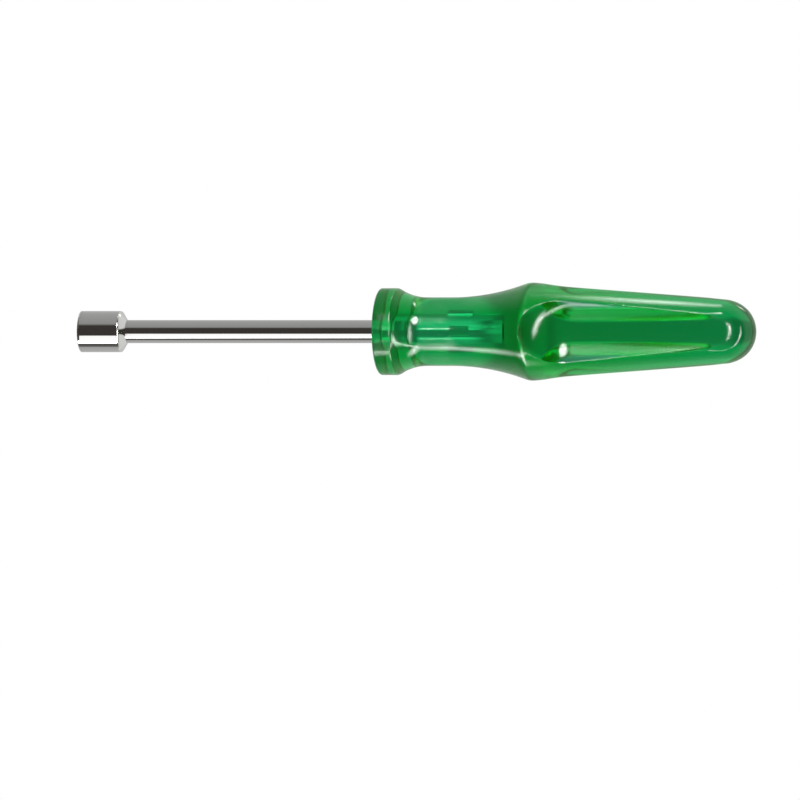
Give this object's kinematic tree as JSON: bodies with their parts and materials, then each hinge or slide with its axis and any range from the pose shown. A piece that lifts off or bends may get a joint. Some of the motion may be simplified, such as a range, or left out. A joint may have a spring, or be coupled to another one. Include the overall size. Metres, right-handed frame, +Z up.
{
  "type": "nut driver",
  "caption": "Hand nut driver: a hexagon socket on a round plated bar, fixed in a waisted clear plastic handle with thumb scoops and a domed end.",
  "frame": {"origin": "centre of the socket's mouth, on the tool's axis", "axes": "+X along the tool from the socket to the domed end, +Z up, one thumb scoop towards -Y"},
  "size_m": [0.18, 0.0255, 0.0256],
  "materials": {
    "clear_green": "polished clear green cellulose plastic",
    "plated_bar": "bright plated steel bar with faint drawn lines",
    "plated_socket": "bright plated steel, turned outside and broached inside"
  },
  "bodies": {
    "root": {"handle": "clear_green", "shaft": "plated_bar", "socket": "plated_socket"}
  },
  "joints": []
}
